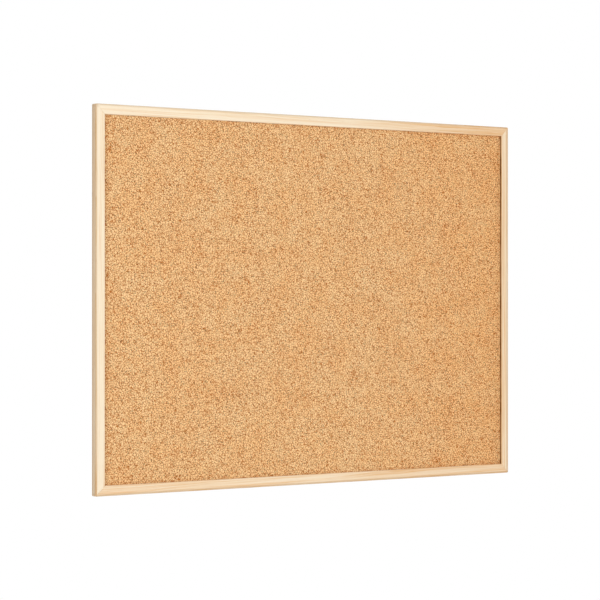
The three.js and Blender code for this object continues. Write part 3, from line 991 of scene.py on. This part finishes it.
class PINBOARD_OT_softboard_core(bpy.types.Operator):
    """Gives the core its felted wood fibre"""

    bl_idname = "pinboard.softboard_core"
    bl_label = "Softboard core"

    fibre_length = 4 * MM
    roughness = 0.95

    def execute(self, context):
        paper = context.scene.pin_board.paper
        material = paper_material("Softboard", paper.softboard, self.fibre_length, self.roughness)
        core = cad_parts["softboard_core"]
        core.data.materials.clear()
        core.data.materials.append(material)
        return {"FINISHED"}


class PINBOARD_OT_kraft_liner(bpy.types.Operator):
    """Pastes the kraft paper over the back of the core, a little cockled"""

    bl_idname = "pinboard.kraft_liner"
    bl_label = "Kraft liner"

    fibre_length = 2.2 * MM
    roughness = 0.8
    # The margin that lies flat, and the width over which the cockles grow from it.
    flat_margin = 10 * MM
    growth = 40 * MM
    # Sizes of the cockles, and each one's share of the depth.
    cockles = ((70 * MM, 0.65), (24 * MM, 0.35))

    def execute(self, context):
        paper = context.scene.pin_board.paper
        rng = np.random.default_rng(paper.seed)
        across = even_lines(LINER_LOW.x, LINER_HIGH.x, paper.spacing)
        up = even_lines(LINER_LOW.z, LINER_HIGH.z, paper.spacing)
        x, z = np.meshgrid(across, up, indexing="ij")
        inset = np.minimum(LINER_HIGH.x - abs(x), (LINER_HIGH.z - LINER_LOW.z) / 2 - abs(z - CENTRE_Z))
        free = np.clip((inset - self.flat_margin) / self.growth, 0, 1)
        wave = sum(share * smooth_noise(rng, x, z, cell) for cell, share in self.cockles)
        y = LINER_HIGH.y - paper.cockle * free * wave
        mesh = sheet_mesh("kraft_liner_paper", np.stack([x, y, z], -1), across, up, LINER_LOW.y)
        material = paper_material("Kraft paper", paper.kraft, self.fibre_length, self.roughness)
        new_piece("kraft_liner_paper", mesh, material, "board", "kraft_liner")
        return {"FINISHED"}


class PINBOARD_OT_nails_and_points(bpy.types.Operator):
    """Finishes the V-nails in the mitres and the points that hold the panel"""

    bl_idname = "pinboard.nails_and_points"
    bl_label = "Nails and points"

    dulling = 0.6

    def execute(self, context):
        fittings = context.scene.pin_board.fittings
        steel = metal_material("steel", fittings.steel, self.dulling)
        for node in sorted(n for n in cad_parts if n.startswith("v_nail") or "_point_" in n):
            mesh = eased_copy(node, fittings.burr)
            keep_flats_flat(new_piece(f"{node}_steel", mesh, steel, "board", node))
        return {"FINISHED"}


class PINBOARD_OT_hangers(bpy.types.Operator):
    """Finishes the straps, rings and screws of the two hangers"""

    bl_idname = "pinboard.hangers"
    bl_label = "Hangers"

    dulling = 0.35

    def execute(self, context):
        fittings = context.scene.pin_board.fittings
        zinc = metal_material("zinc", fittings.zinc, self.dulling)
        for side in HANGER_SIDES:
            for part in ("strap", "screw"):
                node = f"{side}_hanger_{part}"
                mesh = eased_copy(node, fittings.burr, HANGER_SHARP_ANGLE)
                keep_flats_flat(new_piece(f"{node}_plated", mesh, zinc, "board", node))
            node = f"{side}_hanger_ring"
            ring = new_piece(f"{node}_plated", wire_copy(node), zinc, f"{side}_ring", node)
            ring.modifiers.new("Round wire", "SUBSURF").render_levels = 1
        return {"FINISHED"}


# Stage

LAMPS = {
    # name: azimuth, elevation, distance, width, height, share of plain light on a face turned to it
    "Key": (-13, 12, 2.5, 1.4, 1.2, 0.485),
    "Overhead": (-15, 80, 2.4, 1.6, 1.6, 0.12),
    "Back": (175, 20, 3.0, 1.6, 1.4, 0.5),
    "Left": (-80, 10, 2.5, 1.2, 1.2, 0.1),
    "Right": (95, 15, 2.5, 1.2, 1.2, 0.3),
}
FLOOR_GREYS = ((0.9, 0.9, 0.9), (0.94, 0.94, 0.94))
# What the floor adds for the camera, to lie nearer the backdrop's white.
FLOOR_GLOW = 0.25
# Where the floor begins to fade and is gone, as shares of its radius.
FADE_START, FADE_END = 0.45, 0.98


def direction(azimuth, elevation):
    """From the board out to a camera or lamp. Azimuth 0 is straight ahead of the cork."""
    flat = math.cos(elevation)
    return Vector((math.sin(azimuth) * flat, -math.cos(azimuth) * flat, math.sin(elevation)))


def aim(thing, at, out, distance):
    """Puts a camera or lamp in the scene, that far out, to look at a place."""
    thing.location = at + out * distance
    thing.rotation_euler = (-out).to_track_quat("-Z", "Y").to_euler()
    bpy.context.scene.collection.objects.link(thing)


def floor_material(radius):
    """A pale floor that fades away at its rim and isn't seen from below."""
    material, tree, shader = new_material("Pale floor")
    place = object_place(tree)
    path = add_node(tree, "ShaderNodeLightPath").outputs
    seen = calc(tree, "MAXIMUM", path["Is Camera Ray"], path["Is Glossy Ray"])
    speckle = noise(tree, place, 3.0, 4.0)["Fac"]
    fill(tree, shader, {
        "Base Color": mix(tree, speckle, *map(opaque, FLOOR_GREYS)),
        "Roughness": 0.9,
        "Specular IOR Level": 0.1,
        "Emission Color": opaque(WHITE),
        "Emission Strength": calc(tree, "MULTIPLY", seen, FLOOR_GLOW),
    })
    from_middle = add_node(tree, "ShaderNodeVectorMath", {0: place}, operation="LENGTH").outputs["Value"]
    fade = span(tree, from_middle, FADE_START * radius, FADE_END * radius)
    under = add_node(tree, "ShaderNodeNewGeometry").outputs["Backfacing"]
    clear = calc(tree, "MAXIMUM", fade, under)
    see_through = add_node(tree, "ShaderNodeBsdfTransparent").outputs["BSDF"]
    inputs = {0: clear, 1: shader.outputs["BSDF"], 2: see_through}
    output = next(n for n in tree.nodes if n.type == "OUTPUT_MATERIAL")
    fill(tree, output, {"Surface": add_node(tree, "ShaderNodeMixShader", inputs).outputs["Shader"]})
    return material


class PINBOARD_OT_stage(bpy.types.Operator):
    """Sets the camera, the lamps, the floor and the white backdrop"""

    bl_idname = "pinboard.stage"
    bl_label = "Stage"

    def execute(self, context):
        stage = context.scene.pin_board.stage
        middle = Vector((0, CORK_LOW.y, CENTRE_Z))
        self.camera(context, stage, middle)
        self.lamps(middle)
        self.floor(stage, middle)
        self.backdrop(context, stage)
        context.scene.view_settings.view_transform = "Standard"
        return {"FINISHED"}

    @staticmethod
    def camera(context, stage, middle):
        camera = bpy.data.objects.new("Camera", bpy.data.cameras.new("Camera"))
        camera.data.lens = stage.lens
        aim(camera, middle + Vector((stage.aim, 0, 0)), direction(stage.azimuth, 0), stage.distance)
        context.scene.camera = camera

    @staticmethod
    def lamps(middle):
        for name, (azimuth, elevation, distance, width, height, share) in LAMPS.items():
            lamp = bpy.data.lights.new(name, "AREA")
            lamp.shape = "RECTANGLE"
            lamp.size = width
            lamp.size_y = height
            lamp.energy = share * (math.pi * distance) ** 2
            placed = bpy.data.objects.new(name, lamp)
            aim(placed, middle, direction(math.radians(azimuth), math.radians(elevation)), distance)
            placed.visible_camera = False

    @staticmethod
    def floor(stage, middle):
        mesh = bpy.data.meshes.new("floor")
        bm = bmesh.new()
        bmesh.ops.create_circle(bm, cap_ends=True, radius=stage.floor_radius, segments=96)
        bm.to_mesh(mesh)
        bm.free()
        mesh.materials.append(floor_material(stage.floor_radius))
        floor = bpy.data.objects.new("floor", mesh)
        floor.location = middle - Vector((0, 0, stage.floor_drop))
        bpy.context.scene.collection.objects.link(floor)

    @staticmethod
    def backdrop(context, stage):
        world = bpy.data.worlds.new("White backdrop")
        world.use_nodes = True
        tree = world.node_tree
        tree.nodes.clear()
        path = add_node(tree, "ShaderNodeLightPath").outputs
        seen = calc(tree, "MAXIMUM", path["Is Camera Ray"],
                    calc(tree, "MAXIMUM", path["Is Glossy Ray"], path["Is Transmission Ray"]))
        strength = calc(tree, "MULTIPLY_ADD", seen, 1 - stage.ambient, stage.ambient)
        inputs = {"Color": opaque(WHITE), "Strength": strength}
        background = add_node(tree, "ShaderNodeBackground", inputs)
        add_node(tree, "ShaderNodeOutputWorld", {"Surface": background.outputs["Background"]})
        context.scene.world = world


class PINBOARD_PT_sidebar(bpy.types.Panel):
    """The pin board's settings and steps"""

    bl_label = "Pin Board"
    bl_idname = "PINBOARD_PT_sidebar"
    bl_space_type = "VIEW_3D"
    bl_region_type = "UI"
    bl_category = "Pin Board"

    def draw(self, context):
        settings = context.scene.pin_board
        for step, group in STEPS:
            column = self.layout.column(align=True)
            column.operator(step.bl_idname)
            chosen = getattr(settings, group)
            for name in chosen.__annotations__:
                column.prop(chosen, name)


STEPS = (
    (PINBOARD_OT_rails, "pine"),
    (PINBOARD_OT_cork_sheet, "cork"),
    (PINBOARD_OT_softboard_core, "paper"),
    (PINBOARD_OT_kraft_liner, "paper"),
    (PINBOARD_OT_nails_and_points, "fittings"),
    (PINBOARD_OT_hangers, "fittings"),
    (PINBOARD_OT_stage, "stage"),
)
CLASSES = (
    PineSettings,
    CorkSettings,
    PaperSettings,
    FittingSettings,
    StageSettings,
    PinBoardSettings,
    *(step for step, _ in STEPS),
    PINBOARD_PT_sidebar,
)


def register():
    for made in CLASSES:
        bpy.utils.register_class(made)
    bpy.types.Scene.pin_board = PointerProperty(type=PinBoardSettings)


def unregister():
    del bpy.types.Scene.pin_board
    for made in reversed(CLASSES):
        bpy.utils.unregister_class(made)


def main():
    register()
    bpy.ops.pinboard.rails()
    bpy.ops.pinboard.cork_sheet()
    bpy.ops.pinboard.softboard_core()
    bpy.ops.pinboard.kraft_liner()
    bpy.ops.pinboard.nails_and_points()
    bpy.ops.pinboard.hangers()
    bpy.ops.pinboard.stage()


if __name__ == "__main__":
    main()
